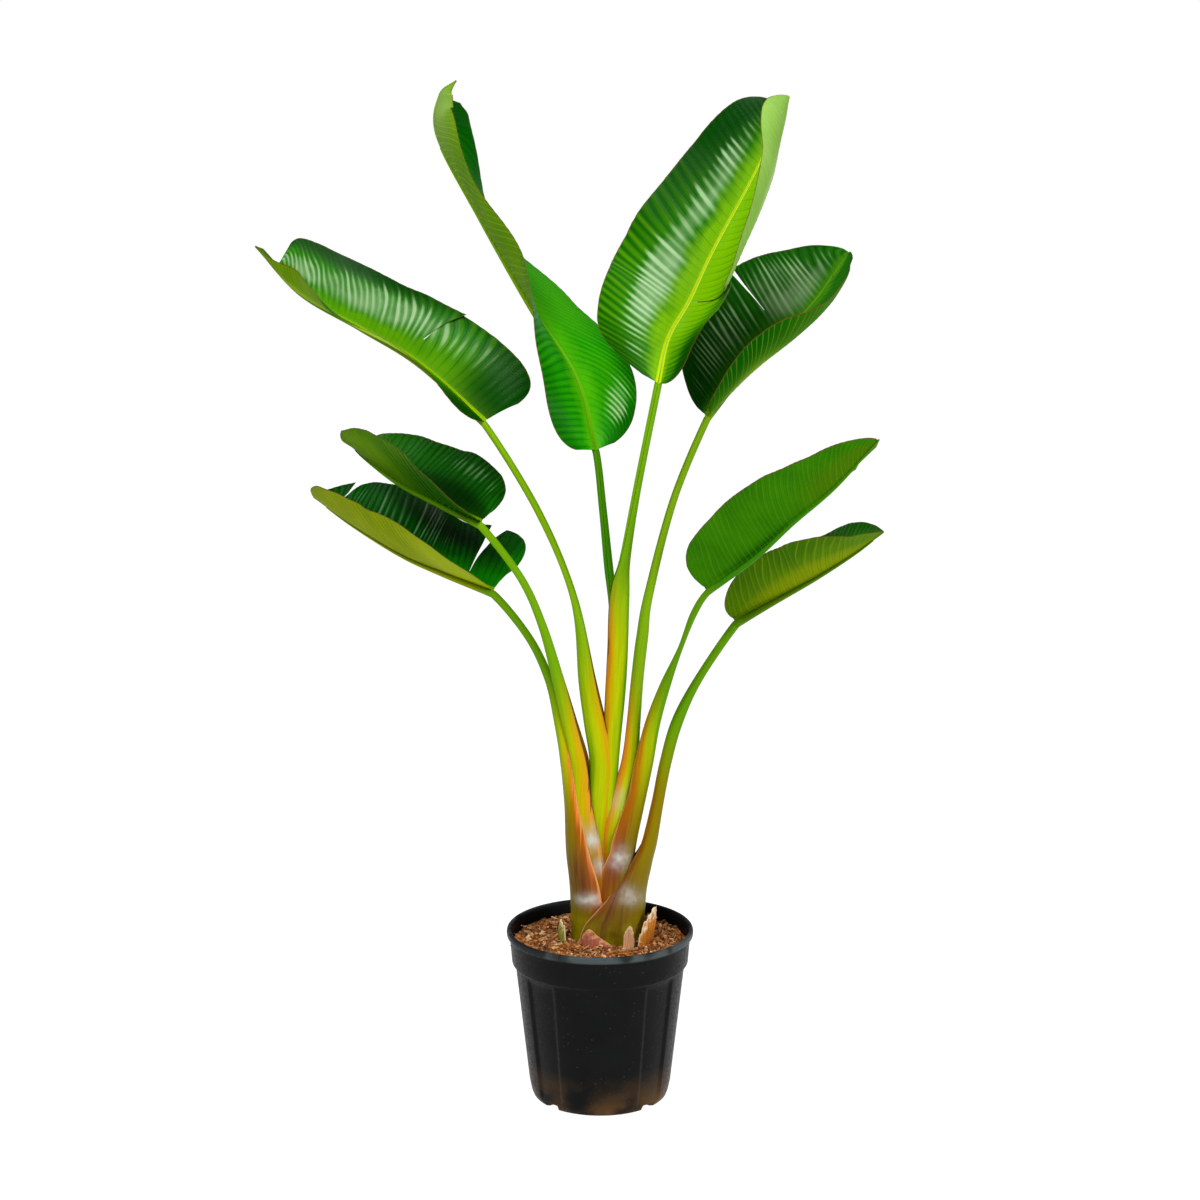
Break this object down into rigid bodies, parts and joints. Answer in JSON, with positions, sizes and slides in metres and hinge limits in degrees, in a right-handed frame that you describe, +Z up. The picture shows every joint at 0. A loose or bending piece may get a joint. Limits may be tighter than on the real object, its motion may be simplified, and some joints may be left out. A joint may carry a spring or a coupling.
{
  "type": "potted giant bird of paradise plant",
  "caption": "Leafy giant bird of paradise plant with tall stalked paddle leaves fanned from one crown, standing in a tapered nursery pot filled with soil.",
  "frame": {"origin": "middle of the pot's flat underside", "axes": "+Z up; -Y is the side that the picture shows; +X is to the right in the picture"},
  "size_m": [0.8859, 0.7622, 1.4522],
  "materials": {
    "pot_plastic": "black moulded polypropylene, satin, a little dusty",
    "soil": "coir and bark potting mix",
    "crown": "fibrous root crown",
    "leaf_blade": "glossy ribbed leaf",
    "leaf_stalk": "smooth waxy stalk and midrib",
    "basal_scale": "pink-brown papery scale",
    "cut_stub": "dry cut leaf base",
    "green_stub": "cut leaf base, green below and dry above",
    "dry_shred": "papery dry shred"
  },
  "bodies": {
    "root": {"pot": "pot_plastic", "soil": "soil", "crown": "crown", "leaf_1_blade": "leaf_blade", "leaf_1_stalk": "leaf_stalk", "leaf_2_blade": "leaf_blade", "leaf_2_stalk": "leaf_stalk", "leaf_3_blade": "leaf_blade", "leaf_3_stalk": "leaf_stalk", "leaf_4_blade": "leaf_blade", "leaf_4_stalk": "leaf_stalk", "leaf_5_blade": "leaf_blade", "leaf_5_stalk": "leaf_stalk", "leaf_6_blade": "leaf_blade", "leaf_6_stalk": "leaf_stalk", "leaf_7_blade": "leaf_blade", "leaf_7_stalk": "leaf_stalk", "leaf_8_blade": "leaf_blade", "leaf_8_stalk": "leaf_stalk", "basal_scale": "basal_scale", "cut_stub_right": "cut_stub", "cut_stub_left": "green_stub", "dry_shred": "dry_shred"}
  },
  "joints": []
}
